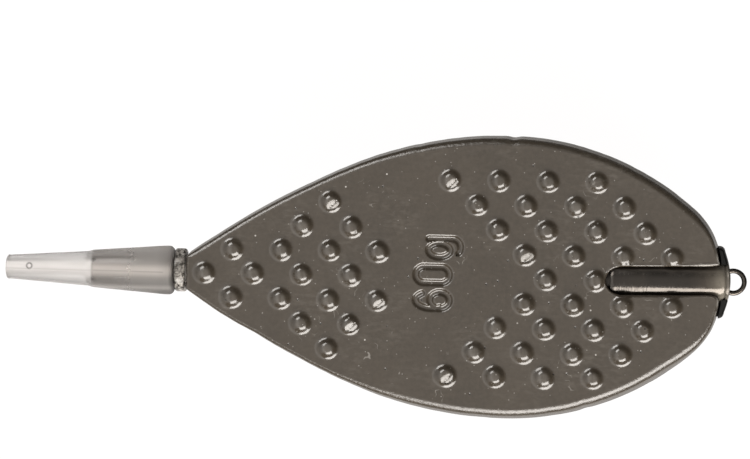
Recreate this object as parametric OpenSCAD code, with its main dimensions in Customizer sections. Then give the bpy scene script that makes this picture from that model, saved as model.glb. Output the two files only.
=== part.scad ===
// In-line flat method feeder: a leaf-shaped cast weight with grip studs on one
// face, a moulded bait cage on the other, and a hollow insert through both that
// carries the line. The nose of the insert holds a small swivel and the tail
// stem carries a soft tapered sleeve.
// Millimetres. +X runs along the line to the nose, +Z is the grip face's normal,
// and the cage's crest lies on z = 0.

/* [Weight] */
// Half width of the leaf at its widest station
leaf_half_w = 16; // [15:0.1:17]
// Station of the widest point
leaf_wide_x = 14.9; // [14:0.1:15.5]
// Station of the tail end face
leaf_tail_x = -21.25; // [-21.4:0.05:-21.15]
// Station of the nose end
leaf_nose_x = 39.05; // [38.85:0.05:39.25]
// Plan radius of the flank beside the widest point, tail side
flank_r = 45.5; // [43:0.5:48]
// Sweep of that flank arc, in degrees
flank_a = 23.7; // [22:0.1:25]
// Plan radius of the long taper to the tail
taper_r = 99.5; // [95:0.5:110]
// Plan radius of the shoulder, nose side
shoulder_r = 32.1; // [31:0.1:33]
// Plan radius of the corner at the nose
corner_r = 9; // [8:0.1:10]
// Offset of the casting's outline from the line axis
leaf_off = -0.12; // [-0.2:0.02:0.2]
// Thickness of the casting
lead_t = 3.9; // [3.8:0.1:4.2]
// Radius of the rounded upper edge
lead_edge_r = 1; // [0.6:0.1:1.4]

/* [Grip studs] */
// Half of the stud pitch, along and across
stud_half_pitch = 2.75; // [2.7:0.05:2.8]
// Station of the first stud
stud_first_x = -18.9; // [-19.1:0.1:-18.7]
// Shift of the odd rows towards the nose
stud_row_shift = 0.36; // [0:0.02:0.5]
// Radius of a stud at its foot
stud_foot_r = 1.25; // [1.1:0.05:1.35]
// Radius of a stud at its top
stud_top_r = 0.65; // [0.5:0.05:0.9]
// Height of a stud
stud_h = 0.65; // [0.4:0.05:0.8]

/* [Weight figure] */
// Depth of the sunk figure
mark_d = 0.3; // [0.15:0.05:0.5]
// Width of its strokes
mark_stroke = 0.7; // [0.5:0.05:0.9]
// Height of the digits
mark_h = 4.6; // [4.2:0.1:5]
// Width of one digit
mark_w = 2.6; // [2.4:0.1:2.8]
// Station of the top of the digits
mark_x = 4.6; // [4.2:0.1:5]
// Position of the first digit's near side, across the feeder
mark_y = -3.9; // [-4.1:0.1:-3.6]

/* [Nose slot] */
// Width of the slot that shows the insert
slot_w = 3.1; // [2.8:0.1:3.4]
// Station of the slot's closed end
slot_x = 26.25; // [26:0.05:26.5]
// Offset of the slot from the centre line
slot_off = 0.05; // [0:0.05:0.4]

/* [Insert] */
// Height of the insert's axis above the crest
axis_z = 11.8; // [11.7:0.05:11.85]
// Outside radius of the insert inside the weight
tube_r = 1.6; // [1.5:0.05:1.7]
// Radius of the line bore
line_r = 0.9; // [0.8:0.05:1]
// Outside radius of the swivel socket
socket_r = 2.2; // [2.15:0.05:2.3]
// Bore radius of the swivel socket
socket_bore_r = 1.62; // [1.6:0.01:1.65]
// Radius of the bead at the nose lip
lip_r = 2.12; // [2.06:0.02:2.18]
// Station of the lip's front
lip_x = 40.1; // [40:0.05:40.2]
// Radius of the tail stem
stem_r = 1.35; // [1.3:0.05:1.4]
// Station of the tail stem's end
stem_x = -32.1; // [-32.3:0.1:-31.7]
// Running gap round the insert
tube_gap = 0.05; // [0.03:0.01:0.08]

/* [Tail] */
// Radius of the retaining collar
collar_r = 2.47; // [2.3:0.01:2.6]
// Station of the sleeve's tip
sleeve_tip_x = -41.95; // [-42.5:0.05:-41.5]
// Station of the sleeve's wide end
sleeve_end_x = -22.75; // [-22.9:0.05:-22.7]
// Radius of the sleeve at its tip
sleeve_tip_r = 1.3; // [1.15:0.05:1.4]
// Radius of the sleeve at its wide end
sleeve_end_r = 2.7; // [2.6:0.05:2.8]
// Radius of the line hole in the sleeve's tip
sleeve_hole_r = 0.65; // [0.55:0.05:0.75]

/* [Swivel] */
// Station of the barrel's middle
barrel_mid_x = 35.95; // [35.9:0.05:36]
// Length of the barrel
barrel_l = 4.5; // [4.3:0.1:4.6]
// Radius of the barrel
barrel_r = 1.45; // [1.35:0.05:1.5]
// Distance from the barrel's middle to each eye's centre
eye_offset = 4.45; // [4.4:0.05:4.5]
// Centre-line radius of an eye
eye_r = 1.25; // [1.2:0.05:1.28]
// Wire radius of an eye
wire_r = 0.28; // [0.25:0.01:0.3]

/* [Bait cage] */
// Height of the cage floor's underside above the crest
cage_h = 9; // [8.5:0.1:9.2]
// Inset of the cage floor from the weight's outline
floor_inset = 0.8; // [0.6:0.1:1.2]
// Thickness of the ribs
rib_t = 1.4; // [1.2:0.1:1.6]
// Distance of the inner ribs from the centre line
inner_rib_y = 4.2; // [4:0.1:4.6]
// Distance of the outer ribs from the centre line at their middle
outer_rib_y = 11.3; // [11:0.1:11.6]
// Plan radius of the outer ribs
outer_rib_r = 60; // [55:1:70]
// How far the outer ribs' crest stays above the inner ribs' crest
outer_drop = 1.2; // [0.8:0.1:2]
// Height of the low cross bars
bar_h = 1.4; // [1:0.1:1.8]
// Radius of the moulded pegs that hold the weight
peg_r = 1.2; // [1:0.05:1.4]
// Length of those pegs
peg_l = 2.4; // [2:0.1:2.6]

/* [Hidden] */
$fn = 64;
floor_top = 10.2;
lead_z0 = floor_top;
lead_z1 = lead_z0 + lead_t;
peg_spots = [[-2, 6.4], [24, 9.2]];
bar_x = [-5, 9, 23];
hub_x = 40.08;
hub_half = 3.95;
hub_front_r = 8.8;
hub_z0 = axis_z - socket_r - 1.3;
hub_z1 = 12.9;
step_x = -21.1;
socket_x = slot_x + 0.5;
collar_x = sleeve_end_x + 0.13;

// Plan outline of the leaf, drawn in by e. Each flank is four arcs.
c1 = [leaf_wide_x, leaf_half_w - flank_r];
c2 = c1 + (flank_r - taper_r) * [-sin(flank_a), cos(flank_a)];
c3 = [leaf_wide_x, leaf_half_w - shoulder_r];
c4x = leaf_nose_x - corner_r;
c4 = [c4x, c3[1] + sqrt(pow(shoulder_r - corner_r, 2) - pow(c4x - c3[0], 2))];
a34 = atan2(c4[0] - c3[0], c4[1] - c3[1]);
function flank(e) = let (a_end = asin((c2[0] - leaf_tail_x - e) / (taper_r - e)))
    concat(
        [for (k = [7 : -1 : 0]) let (a = flank_a + (a_end - flank_a) * k / 7)
            [c2[0] - (taper_r - e) * sin(a), c2[1] + (taper_r - e) * cos(a)]],
        [for (k = [5 : -1 : 0]) let (a = flank_a * k / 6)
            [c1[0] - (flank_r - e) * sin(a), c1[1] + (flank_r - e) * cos(a)]],
        [for (k = [1 : 9]) let (a = a34 * k / 9)
            [c3[0] + (shoulder_r - e) * sin(a), c3[1] + (shoulder_r - e) * cos(a)]],
        [for (k = [1 : 6]) let (a = a34 + (90 - a34) * k / 6)
            [c4[0] + (corner_r - e) * sin(a), c4[1] + (corner_r - e) * cos(a)]]);
function leaf(e) = let (f = flank(e), n = len(f))
    concat(f, [for (k = [n - 1 : -1 : 0]) [f[k][0], -f[k][1]]]);
module leaf_plan(e) translate([0, leaf_off]) polygon(leaf(e));

// Solid of revolution about the feeder's line axis, from [radius, station] points
module turned(pts) translate([0, 0, axis_z]) rotate([0, 90, 0]) rotate_extrude() polygon(pts);
// Straight round rod along the line axis
module rod(r, x0, x1) translate([x0, 0, axis_z]) rotate([0, 90, 0]) cylinder(r = r, h = x1 - x0);

// Stud positions: a staggered grid with a bare patch for the weight figure
tail_rows = [[0, 6], [1, 7], [4, 6], [5, 5]];
function stud_xy(i, j) = [stud_first_x + stud_half_pitch * i + (abs(j) % 2 == 1 ? stud_row_shift : 0),
                          stud_half_pitch * j];
studs = concat(
    [for (j = [-3 : 3]) for (i = [tail_rows[abs(j)][0] : 2 : tail_rows[abs(j)][1]]) stud_xy(i, j)],
    [for (j = [-4 : 4]) for (k = [0 : 3]) let (i = 14 - abs(j) + 2 * k) if (j != 0 || k < 2) stud_xy(i, j)]);
module stud(p) translate([p[0], p[1], lead_z1 - 0.2])
    cylinder(r1 = stud_foot_r + 0.2 * (stud_foot_r - stud_top_r) / stud_h, r2 = stud_top_r,
             h = stud_h + 0.2, $fn = 32);

// Strokes of the sunk weight figure, in a plane where u runs along the reading
// direction and v runs down from the top of the digits
module oval_ring(u, v, w, h) translate([u, v]) difference() {
    oval(w, h);
    oval(w - 2 * mark_stroke, h - 2 * mark_stroke);
}
function oval_pts(w, h) = let (r = w / 2, s = h / 2 - r)
    concat([for (k = [0 : 12]) let (a = 180 * k / 12) [r * cos(a), s + r * sin(a)]],
           [for (k = [0 : 12]) let (a = 180 + 180 * k / 12) [r * cos(a), -s + r * sin(a)]]);
module oval(w, h) polygon(oval_pts(w, h + 0.001));
module figure() {
    // six: a closed lower bowl and an open upper hook
    oval_ring(mark_w / 2, mark_h * 0.68, mark_w, mark_h * 0.64);
    intersection() {
        oval_ring(mark_w / 2, mark_h / 2, mark_w, mark_h);
        union() {
            translate([-0.1, 0]) square([mark_w + 0.2, mark_h * 0.2]);
            translate([-0.1, 0]) square([mark_w / 2, mark_h * 0.7]);
        }
    }
    // nought
    oval_ring(mark_w * 1.5 + 0.2, mark_h / 2, mark_w, mark_h);
    // gram sign: a bowl, a straight stem and a hooked tail
    translate([2 * mark_w + 0.45, 0]) {
        oval_ring(mark_w / 2, mark_h * 0.61, mark_w, mark_h * 0.66);
        translate([mark_w - mark_stroke, mark_h * 0.28]) square([mark_stroke, mark_h * 0.75]);
        intersection() {
            oval_ring(mark_w / 2, mark_h * 0.94, mark_w, mark_h * 0.62);
            translate([-0.1, mark_h * 1.02]) square([mark_w + 0.2, mark_h * 0.3]);
        }
    }
}

// Cast weight
module lead_weight() color([0.33, 0.31, 0.28]) difference() {
    union() {
        // slab, then thinner layers that step in along the rounded upper edge
        translate([0, 0, lead_z0]) linear_extrude(height = lead_t - lead_edge_r) leaf_plan(0);
        for (k = [1 : 3]) translate([0, 0, lead_z1 - lead_edge_r - 0.2])
            linear_extrude(height = 0.2 + lead_edge_r * (k < 3 ? sin(30 * k) : 1))
                leaf_plan(lead_edge_r * [0, 0.13, 0.42, 0.8][k]);
        for (p = studs) stud(p);
    }
    // bore for the insert, wider at the swivel socket
    rod(tube_r + tube_gap, leaf_tail_x - 1, slot_x - 0.5);
    rod(socket_r + tube_gap, slot_x - 1, leaf_nose_x + 1);
    // slot that opens the nose end through the grip face
    translate([0, slot_off, axis_z]) linear_extrude(height = 6)
        polygon(concat([[leaf_nose_x + 2, slot_w / 2]],
            [for (k = [0 : 16]) let (a = 90 + 180 * k / 16)
                [slot_x + slot_w / 2 + slot_w / 2 * cos(a), slot_w / 2 * sin(a)]],
            [[leaf_nose_x + 2, -slot_w / 2]]));
    // sunk weight figure, read from the nose side
    translate([mark_x, mark_y, lead_z1 - mark_d]) linear_extrude(height = mark_d + 1)
        mirror([1, -1]) figure();
    // blind holes for the cage's pegs
    for (p = peg_spots) for (s = [-1, 1]) translate([p[0], s * p[1], lead_z0 - 1])
        cylinder(r = peg_r + 0.03, h = peg_l + 1.2);
}

// Side profile of a rib: flat crest between x2 and x3, eased down to the floor
function crest(x1, x2, x3, x4, z) = concat(
    [[x1, cage_h + 0.3]],
    [for (k = [0 : 8]) [x1 + (x2 - x1) * k / 8, cage_h - (cage_h - z) * sin(90 * k / 8)]],
    [for (k = [8 : -1 : 0]) [x4 + (x3 - x4) * k / 8, cage_h - (cage_h - z) * sin(90 * k / 8)]],
    [[x4, cage_h + 0.3]]);
module side_plate(pts, y0, t) translate([0, y0 + t, 0]) rotate([90, 0, 0]) linear_extrude(height = t) polygon(pts);

// Moulded bait cage
module bait_cage() color([0.1, 0.1, 0.095]) difference() {
    union() {
        // floor under the weight
        translate([0, 0, cage_h]) linear_extrude(height = floor_top - cage_h) polygon(leaf(floor_inset));
        // spine that closes round the insert from below
        intersection() {
            union() {
                rod(tube_r + 1.4, leaf_tail_x + 0.4, slot_x);
                rod(socket_r + 0.9, slot_x - 1.2, 36);
            }
            translate([-60, -10, 0]) cube([120, 20, cage_h + 0.6]);
        }
        // nose hub round the socket, bowed in front, with a low wall before the weight's nose
        difference() {
            intersection() {
                translate([34.5, leaf_off - hub_half, hub_z0]) cube([8, 2 * hub_half, hub_z1 - hub_z0]);
                translate([hub_x - hub_front_r, leaf_off, 0]) cylinder(r = hub_front_r, h = 20, $fn = 96);
            }
            translate([0, 0, floor_top]) linear_extrude(height = 6) leaf_plan(-0.08);
        }
        // inner ribs, which the feeder rests on
        for (s = [-1, 1])
            side_plate(crest(-15, -5, 23, 33, 0), s * inner_rib_y - rib_t / 2, rib_t);
        // outer ribs, bowed with the outline
        for (s = [-1, 1]) intersection() {
            translate([12, s * (outer_rib_y - outer_rib_r), 0]) difference() {
                cylinder(r = outer_rib_r + rib_t / 2, h = cage_h + 0.4, $fn = 128);
                translate([0, 0, -1]) cylinder(r = outer_rib_r - rib_t / 2, h = cage_h + 3, $fn = 128);
            }
            side_plate(crest(-7, 2, 22, 30, outer_drop), s > 0 ? 4 : -16, 12);
        }
        // low cross bars that key the bait
        for (x = bar_x) let (w = 10.6 - pow(x - 12, 2) / 120)
            translate([x - 0.6, -w, cage_h - bar_h]) cube([1.2, 2 * w, bar_h + 0.3]);
        // pegs that hold the weight
        for (p = peg_spots) for (s = [-1, 1]) translate([p[0], s * p[1], cage_h + 0.3])
            cylinder(r = peg_r, h = floor_top - cage_h - 0.3 + peg_l);
    }
    rod(tube_r + tube_gap, leaf_tail_x - 1, slot_x - 0.5);
    rod(socket_r + tube_gap, slot_x - 1, hub_x + 1);
}

// Hollow insert: tail stem, body, swivel socket and beaded lip in one moulding
module insert_tube() color([0.36, 0.36, 0.34]) turned([
    [line_r, stem_x], [stem_r - 0.15, stem_x], [stem_r, stem_x + 0.25],
    [stem_r, step_x], [tube_r, step_x], [tube_r, socket_x],
    [socket_r - 0.15, socket_x], [socket_r, socket_x + 0.15], [socket_r, lip_x - 1.2], [lip_r, lip_x - 0.6],
    [lip_r - 0.16, lip_x - 0.48], [lip_r - 0.16, lip_x - 0.42], [lip_r, lip_x - 0.36],
    [lip_r, lip_x - 0.14], [lip_r - 0.14, lip_x],
    [socket_bore_r + 0.14, lip_x], [socket_bore_r, lip_x - 0.2],
    [socket_bore_r, 29.4], [line_r, 28.6]]);

// Ring that locks the insert against the weight's tail
module tail_collar() color([0.62, 0.61, 0.58]) turned([
    [stem_r + 0.03, collar_x], [collar_r - 0.3, collar_x],
    [collar_r, collar_x + 0.3], [collar_r, leaf_tail_x - 0.3],
    [collar_r - 0.25, leaf_tail_x - 0.05], [stem_r + 0.03, leaf_tail_x - 0.05]]);

// Soft tapered sleeve pushed over the stem
module tail_sleeve() color([0.8, 0.8, 0.78]) turned([
    [sleeve_hole_r, sleeve_tip_x], [sleeve_tip_r - 0.3, sleeve_tip_x],
    [sleeve_tip_r - 0.08, sleeve_tip_x + 0.15], [sleeve_tip_r, sleeve_tip_x + 0.45],
    [1.9, stem_x - 0.7], [2.1, stem_x + 0.3], [sleeve_end_r, sleeve_end_x - 1],
    [sleeve_end_r - 0.08, sleeve_end_x - 0.4], [sleeve_end_r - 0.35, sleeve_end_x - 0.08],
    [sleeve_end_r - 0.6, sleeve_end_x], [stem_r + 0.07, sleeve_end_x],
    [stem_r + 0.07, stem_x - 0.3], [sleeve_hole_r, stem_x - 1.1]]);

// Barrel of the swivel, hollow, with a hole in each end
b0 = barrel_mid_x - barrel_l / 2;
b1 = barrel_mid_x + barrel_l / 2;
hole_r = wire_r + 0.08;
module swivel_barrel() color([0.22, 0.21, 0.2]) turned([
    [hole_r, b0], [0.7, b0], [1.1, b0 + 0.25], [barrel_r - 0.08, b0 + 0.8], [barrel_r, b0 + 1.3],
    [barrel_r, b1 - 1.3], [barrel_r - 0.08, b1 - 0.8], [1.1, b1 - 0.25], [0.7, b1], [hole_r, b1],
    [hole_r, b1 - 0.5], [0.95, b1 - 1], [1.05, b1 - 1.3], [1.05, b0 + 1.3], [0.95, b0 + 1],
    [hole_r, b0 + 0.5]]);

// One wire eye: a ring, a shank through the barrel's end and a head inside it
module eye(s) translate([barrel_mid_x + s * eye_offset, 0, axis_z]) {
    rotate_extrude() translate([eye_r, 0]) circle(r = wire_r, $fn = 32);
    rotate([0, -s * 90, 0]) translate([0, 0, eye_r]) cylinder(r = wire_r - 0.02, h = 2.15, $fn = 32);
    rotate([0, -s * 90, 0]) translate([0, 0, eye_r + 1.9]) cylinder(r = 0.72, h = 0.5, $fn = 32);
}
module swivel_front_eye() color([0.25, 0.24, 0.23]) eye(1);
module swivel_rear_eye() color([0.25, 0.24, 0.23]) eye(-1);

lead_weight();
bait_cage();
insert_tube();
tail_collar();
tail_sleeve();
swivel_barrel();
swivel_front_eye();
swivel_rear_eye();
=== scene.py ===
import math

import bmesh
import bpy
import numpy as np
from mathutils import Matrix, Vector, geometry, kdtree, noise


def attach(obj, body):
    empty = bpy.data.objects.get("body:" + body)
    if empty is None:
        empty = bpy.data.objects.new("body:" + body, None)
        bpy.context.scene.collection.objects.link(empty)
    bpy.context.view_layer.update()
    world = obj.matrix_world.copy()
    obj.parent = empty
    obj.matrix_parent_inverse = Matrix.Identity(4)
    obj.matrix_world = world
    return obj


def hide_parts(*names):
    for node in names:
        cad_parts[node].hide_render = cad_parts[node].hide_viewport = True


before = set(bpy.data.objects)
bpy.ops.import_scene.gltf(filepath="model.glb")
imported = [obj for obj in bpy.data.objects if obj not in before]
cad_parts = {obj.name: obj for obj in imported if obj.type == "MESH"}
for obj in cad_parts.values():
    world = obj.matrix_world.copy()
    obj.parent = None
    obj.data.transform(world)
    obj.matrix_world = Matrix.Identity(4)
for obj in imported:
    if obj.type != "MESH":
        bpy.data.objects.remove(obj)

scene = bpy.context.scene
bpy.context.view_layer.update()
rng = np.random.default_rng(60)
MM = 0.001

# ---------------------------------------------------------------- sizes, mm
AXIS_Z = 11.8
FLOOR_Z0, FLOOR_Z1 = 9.0, 10.2
LEAD_Z0, LEAD_Z1 = 10.2, 14.1
HALF_W, WIDE_X, TAIL_X, NOSE_X = 16.0, 14.9, -21.25, 39.05
LEAF_OFF = -0.12
FLANK_R, FLANK_A, TAPER_R, SHOULDER_R, CORNER_R = 45.5, math.radians(23.7), 99.5, 32.1, 9.0
SLOT_X, SLOT_END_R = 26.25, 1.5
PITCH, STUD_X0, ROW_SHIFT = 2.75, -18.9, 0.36


# ---------------------------------------------------------------- camera
def make_camera():
    tilt_x, tilt_y, roll = math.radians(5.59), math.radians(3.73), math.radians(0.85)
    target = Vector((0.28, 5.19, 14.1)) * MM
    d = Vector((math.sin(tilt_x), math.sin(tilt_y), 0))
    d.z = math.sqrt(1 - d.x * d.x - d.y * d.y)
    up = Vector((-math.sin(roll), math.cos(roll), 0))
    x = up.cross(d).normalized()
    y = d.cross(x)
    data = bpy.data.cameras.new("camera")
    cam = bpy.data.objects.new("camera", data)
    scene.collection.objects.link(cam)
    cam.matrix_world = Matrix.Translation(target + d * 0.45) @ Matrix((x, y, d)).transposed().to_4x4()
    data.sensor_width = 36
    data.lens = 4010.2 * 36 / 750
    data.clip_start, data.clip_end = 0.01, 50
    scene.camera = cam


make_camera()


# ---------------------------------------------------------------- mesh helpers
def finish_mesh(name, verts_mm, faces, sharp=38.0):
    """Mesh object from millimetre points, outward normals, smooth with sharp creases."""
    me = bpy.data.meshes.new(name)
    me.from_pydata([tuple(float(c) * MM for c in v) for v in verts_mm], [], [list(map(int, f)) for f in faces])
    bm = bmesh.new()
    bm.from_mesh(me)
    bmesh.ops.recalc_face_normals(bm, faces=bm.faces)
    bm.to_mesh(me)
    bm.free()
    ob = bpy.data.objects.new(name, me)
    scene.collection.objects.link(ob)
    smooth(ob, sharp)
    return ob


def smooth(ob, sharp=38.0):
    me = ob.data
    me.polygons.foreach_set("use_smooth", np.ones(len(me.polygons), bool))
    me.set_sharp_from_angle(angle=math.radians(sharp))
    me.update()


def boolean(ob, tools, op):
    """Joins or cuts closed tool meshes into ob, one after another, and removes them."""
    for t in tools:
        m = ob.modifiers.new("b", "BOOLEAN")
        m.operation, m.solver, m.object = op, "MANIFOLD", t
        bpy.context.view_layer.update()
        dg = bpy.context.evaluated_depsgraph_get()
        new = bpy.data.meshes.new_from_object(ob.evaluated_get(dg))
        ob.modifiers.remove(m)
        old = ob.data
        ob.data = new
        new.name = ob.name
        bpy.data.meshes.remove(old)
        tm = t.data
        bpy.data.objects.remove(t)
        bpy.data.meshes.remove(tm)
    return ob


def lathe(name, loop, seg=96, shift=None, sharp=38.0):
    """Closed loop of (station, radius) points turned about the line axis. shift(x, r, angle) may move a radius."""
    n = len(loop)
    ang = np.arange(seg) * 2 * math.pi / seg
    v, f = [], []
    for x, r in loop:
        for a in ang:
            rr = r if shift is None else shift(x, r, a)
            v.append((x, rr * math.cos(a), AXIS_Z + rr * math.sin(a)))
    for i in range(n):
        j = (i + 1) % n
        for k in range(seg):
            m = (k + 1) % seg
            f.append((i * seg + k, i * seg + m, j * seg + m, j * seg + k))
    return finish_mesh(name, v, f, sharp)


def rod(name, r, x0, x1, seg=96, round_end=0.0):
    """Closed round bar along the line axis, with optional rounded ends."""
    prof = []
    if round_end:
        prof += [(x0 + round_end * (1 - math.sin(a)), r - round_end * (1 - math.cos(a)))
                 for a in np.radians([80, 60, 40, 20])]
        prof += [(x0 + round_end, r), (x1 - round_end, r)]
        prof += [(x1 - round_end * (1 - math.sin(a)), r - round_end * (1 - math.cos(a)))
                 for a in np.radians([20, 40, 60, 80])]
    else:
        prof = [(x0, r), (x1, r)]
    v, f = [], []
    for x, rr in prof:
        for k in range(seg):
            a = 2 * math.pi * k / seg
            v.append((x, rr * math.cos(a), AXIS_Z + rr * math.sin(a)))
    for i in range(len(prof) - 1):
        for k in range(seg):
            m = (k + 1) % seg
            f.append((i * seg + k, i * seg + m, (i + 1) * seg + m, (i + 1) * seg + k))
    f.append(tuple(range(seg)))
    f.append(tuple(range((len(prof) - 1) * seg, len(prof) * seg)))
    return finish_mesh(name, v, f)


def loft(name, sections, sharp=38.0):
    """Closed sections of equal point count joined into one capped solid."""
    n = len(sections[0])
    v = [p for s in sections for p in s]
    f = []
    for i in range(len(sections) - 1):
        for k in range(n):
            m = (k + 1) % n
            f.append((i * n + k, i * n + m, (i + 1) * n + m, (i + 1) * n + k))
    f.append(tuple(range(n)))
    f.append(tuple(range((len(sections) - 1) * n, len(sections) * n)))
    return finish_mesh(name, v, f, sharp)


def wave(x, y, z, size):
    return noise.noise(Vector((x / size, y / size, z / size)))


# ---------------------------------------------------------------- leaf outline
C1 = np.array([WIDE_X, HALF_W - FLANK_R])
C2 = C1 + (FLANK_R - TAPER_R) * np.array([-math.sin(FLANK_A), math.cos(FLANK_A)])
C3 = np.array([WIDE_X, HALF_W - SHOULDER_R])
C4X = NOSE_X - CORNER_R
C4 = np.array([C4X, C3[1] + math.sqrt((SHOULDER_R - CORNER_R) ** 2 - (C4X - C3[0]) ** 2)])
A34 = math.atan2(C4[0] - C3[0], C4[1] - C3[1])


def upper_flank(e=0.0):
    """Points of the upper flank from the nose to the tail, drawn in by e."""
    pts = []
    for a in np.linspace(math.pi / 2, A34, 40):
        pts.append((C4[0] + (CORNER_R - e) * math.sin(a), C4[1] + (CORNER_R - e) * math.cos(a)))
    for a in np.linspace(A34, 0, 90)[1:]:
        pts.append((C3[0] + (SHOULDER_R - e) * math.sin(a), C3[1] + (SHOULDER_R - e) * math.cos(a)))
    for a in np.linspace(0, FLANK_A, 60)[1:]:
        pts.append((C1[0] - (FLANK_R - e) * math.sin(a), C1[1] + (FLANK_R - e) * math.cos(a)))
    a_end = math.asin((C2[0] - TAIL_X - e) / (TAPER_R - e))
    for a in np.linspace(FLANK_A, a_end, 80)[1:]:
        pts.append((C2[0] - (TAPER_R - e) * math.sin(a), C2[1] + (TAPER_R - e) * math.cos(a)))
    return pts


def fillet(p, q, s, r, n=8):
    """Arc that rounds the corner q between p and s."""
    p, q, s = (np.array(t, float) for t in (p, q, s))
    a, b = (p - q) / np.linalg.norm(p - q), (s - q) / np.linalg.norm(s - q)
    half = math.acos(np.clip(a @ b, -1, 1)) / 2
    t = r / math.tan(half)
    bis = (a + b) / np.linalg.norm(a + b)
    c = q + bis * r / math.sin(half)
    u, w = q + a * t - c, q + b * t - c
    ang = math.acos(np.clip(u @ w / r / r, -1, 1))
    return [tuple(c + (math.sin((1 - k / n) * ang) * u + math.sin(k / n * ang) * w) / math.sin(ang)) for k in range(n + 1)], t


def resample(pts, step):
    """Even spacing along a closed loop of (x, y, tag) points."""
    p = np.array([q[:2] for q in pts])
    tag = np.array([q[2] for q in pts], float)
    nxt = np.roll(p, -1, 0)
    seg = np.linalg.norm(nxt - p, axis=1)
    s = np.concatenate([[0], np.cumsum(seg)])
    n = int(round(s[-1] / step))
    t = np.arange(n) * s[-1] / n
    pc, tc = np.vstack([p, p[:1]]), np.append(tag, tag[0])
    return np.c_[np.interp(t, s, pc[:, 0]), np.interp(t, s, pc[:, 1])], np.interp(t, s, tc)


def slot_edge(x, side):
    """Upper or lower edge of the nose slot, which widens and leans a little towards its mouth."""
    lean = 0.0025 * np.maximum(0.0, x - 34) ** 2
    return (1.615 + 0.022 * (x - 29) if side > 0 else -1.55 + 0.016 * (x - 29)) + lean


def rim_radius(x, y):
    """Radius of the rounded upper edge: tighter along the tail and beside the nose slot."""
    t = min(1.0, max(0.0, (x + 8) / 16))
    t = t * t * (3 - 2 * t)
    r = 0.7 + 0.15 * t if y > 0 else 0.5 + 0.55 * t
    u = min(1.0, max(0.0, (x - 36) / 2.5))
    return r * (1 - u) + 0.42 * u


def leaf_loop(step, slot=True, tail_r=0.5):
    """Outline of the casting, anticlockwise. The tag is the radius of its upper edge."""
    up = upper_flank()
    lo = [(x, LEAF_OFF - y) for x, y in up][::-1]
    up = [(x, LEAF_OFF + y) for x, y in up]
    yu, yl = slot_edge(NOSE_X, 1), slot_edge(NOSE_X, -1)
    out = []

    def add(pts, tag):
        out.extend((x, y, tag) for x, y in pts)

    if slot:
        up = [q for q in up if q[0] < 30 or q[1] > yu + 0.45]
        lo = [q for q in lo if q[0] < 30 or q[1] < yl - 0.85]
    t1, d1 = fillet(up[-2], up[-1], (TAIL_X, 0), tail_r)
    t2, d2 = fillet((TAIL_X, 0), lo[0], lo[1], tail_r)
    up = [q for q in up if math.dist(q, up[-1]) > d1 + 0.02]
    lo = [q for q in lo if math.dist(q, lo[0]) > d2 + 0.02]
    out.extend((x, y, rim_radius(x, y)) for x, y in up)
    add(t1, 0.3)
    add(t2, 0.3)
    out.extend((x, y, rim_radius(x, y)) for x, y in lo)
    if slot:
        m1, _ = fillet((NOSE_X, yl - 3), (NOSE_X, yl), (NOSE_X - 3, slot_edge(NOSE_X - 3, -1)), 0.8)
        m2, _ = fillet((NOSE_X - 3, slot_edge(NOSE_X - 3, 1)), (NOSE_X - 0.01, yu), (NOSE_X - 0.05, yu + 3), 0.35)
        cx = SLOT_X + SLOT_END_R
        cy = (slot_edge(cx, 1) + slot_edge(cx, -1)) / 2
        add(m1, 0.35)
        add([(x, slot_edge(x, -1)) for x in np.linspace(NOSE_X - 1.0, cx, 40)], 0.2)
        add([(cx + SLOT_END_R * math.cos(a), cy + SLOT_END_R * math.sin(a))
             for a in np.linspace(1.5 * math.pi, 0.5 * math.pi, 24)[1:-1]], 0.2)
        add([(x, slot_edge(x, 1)) for x in np.linspace(cx, NOSE_X - 0.6, 40)], 0.2)
        add(m2, 0.3)
    return resample(out, step)


def loop_normals(p):
    """Inward unit normals of an anticlockwise loop."""
    t = np.roll(p, -1, 0) - np.roll(p, 1, 0)
    t /= np.linalg.norm(t, axis=1)[:, None]
    return np.c_[-t[:, 1], t[:, 0]]


def inside(poly, q):
    """Which of the points q lie inside the polygon."""
    x, y = q[:, 0], q[:, 1]
    res = np.zeros(len(q), bool)
    a, b = poly, np.roll(poly, -1, 0)
    for (x0, y0), (x1, y1) in zip(a, b):
        if y0 == y1:
            continue
        hit = ((y0 > y) != (y1 > y)) & (x < (x1 - x0) * (y - y0) / (y1 - y0) + x0)
        res ^= hit
    return res


# ---------------------------------------------------------------- relief of the grip face
def stud_list():
    rows = [(0, 6), (1, 7), (4, 6), (5, 5)]
    keys = [(i, j) for j in range(-3, 4) for i in range(rows[abs(j)][0], rows[abs(j)][1] + 1, 2)]
    keys += [(14 - abs(j) + 2 * k, j) for j in range(-4, 5) for k in range(4) if j or k < 2]
    return keys


WORN = {(5, 3): 0.9, (10, 4): 0.8, (13, 1): 1.0, (10, -4): 0.7, (7, -1): 0.6, (6, -2): 0.6}
STUDS = []
for key in stud_list():
    i, j = key
    STUDS.append(dict(
        x=STUD_X0 + PITCH * i + (ROW_SHIFT if j % 2 else 0) + 0.027 * j + rng.normal(0, 0.025),
        y=PITCH * j - 0.05 + rng.normal(0, 0.025),
        h=1 + rng.normal(0, 0.04), r=1 + rng.normal(0, 0.02), lean=rng.normal(0, 0.02, 2), worn=WORN.get(key, 0.0),
        rub=0.05 + 0.2 * rng.random(), flat=(0.2 if i >= 10 else 0.0) + 0.45 * rng.random()))

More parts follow.
